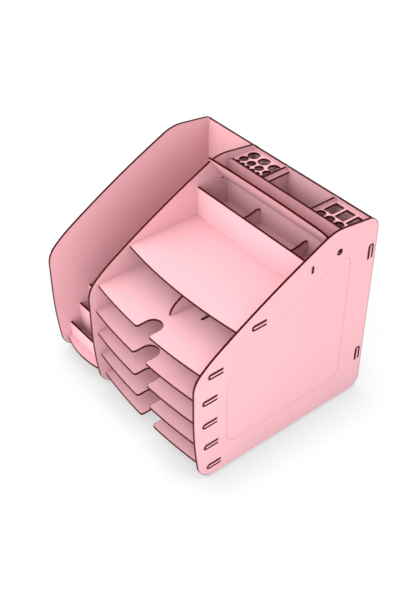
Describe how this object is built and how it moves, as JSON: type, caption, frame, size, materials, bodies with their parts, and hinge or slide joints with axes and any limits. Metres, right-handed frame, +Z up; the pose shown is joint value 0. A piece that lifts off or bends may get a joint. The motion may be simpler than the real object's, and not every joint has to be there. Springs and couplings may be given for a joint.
{
  "type": "desk document rack",
  "caption": "Desk rack cut from painted sheet: stacked paper trays with finger notches beside a magazine bay, topped by a lidded compartment and a pen holder",
  "frame": {"origin": "middle of the footprint on the floor: halfway across the rack's width and halfway between the front and the rear edges of the side panels, at the height of the panels' feet", "axes": "+X to the right across the rack (the magazine bay is at -X), +Y from the open front to the back, +Z up"},
  "size_m": [0.3434, 0.3116, 0.3272],
  "materials": {
    "painted_sheet": "fibreboard painted matt pink, with dark scorched cut edges",
    "painted_sheet_inner": "fibreboard painted matt pink, with dark scorched cut edges"
  },
  "bodies": {
    "rack": {"left_outer_panel": "painted_sheet", "inner_left_panel": "painted_sheet", "right_side_panel": "painted_sheet", "back_panel": "painted_sheet", "top_shelf": "painted_sheet_inner", "tray_shelf_1": "painted_sheet", "tray_shelf_2": "painted_sheet", "tray_shelf_3": "painted_sheet", "tray_shelf_4": "painted_sheet", "tray_shelf_5": "painted_sheet", "compartment_front_wall": "painted_sheet_inner", "middle_wall": "painted_sheet_inner", "compartment_divider_left": "painted_sheet_inner", "compartment_divider_right": "painted_sheet_inner", "pen_cross_wall_left": "painted_sheet_inner", "pen_cross_wall_right": "painted_sheet_inner", "round_hole_plate": "painted_sheet", "square_hole_plate": "painted_sheet", "magazine_base": "painted_sheet", "magazine_wall_front": "painted_sheet", "magazine_wall_middle": "painted_sheet", "magazine_wall_rear": "painted_sheet"},
    "lid": {"lid": "painted_sheet_inner"},
    "upper_divider": {"upper_tray_divider": "painted_sheet_inner"},
    "lower_divider": {"lower_tray_divider": "painted_sheet_inner"}
  },
  "joints": [
    {"name": "lid_hinge", "type": "hinge", "parent": "rack", "child": "lid", "pos_m": [0.0524, 0.0858, 0.28035], "axis": [-1, 0, 0], "range_deg": [-53.4, 47.1]},
    {"name": "upper_divider_slide", "type": "slide", "parent": "rack", "child": "upper_divider", "axis": [1, 0, 0], "range_m": [-0.1122, 0.1162]},
    {"name": "lower_divider_slide", "type": "slide", "parent": "rack", "child": "lower_divider", "axis": [1, 0, 0], "range_m": [-0.1122, 0.1162]}
  ]
}
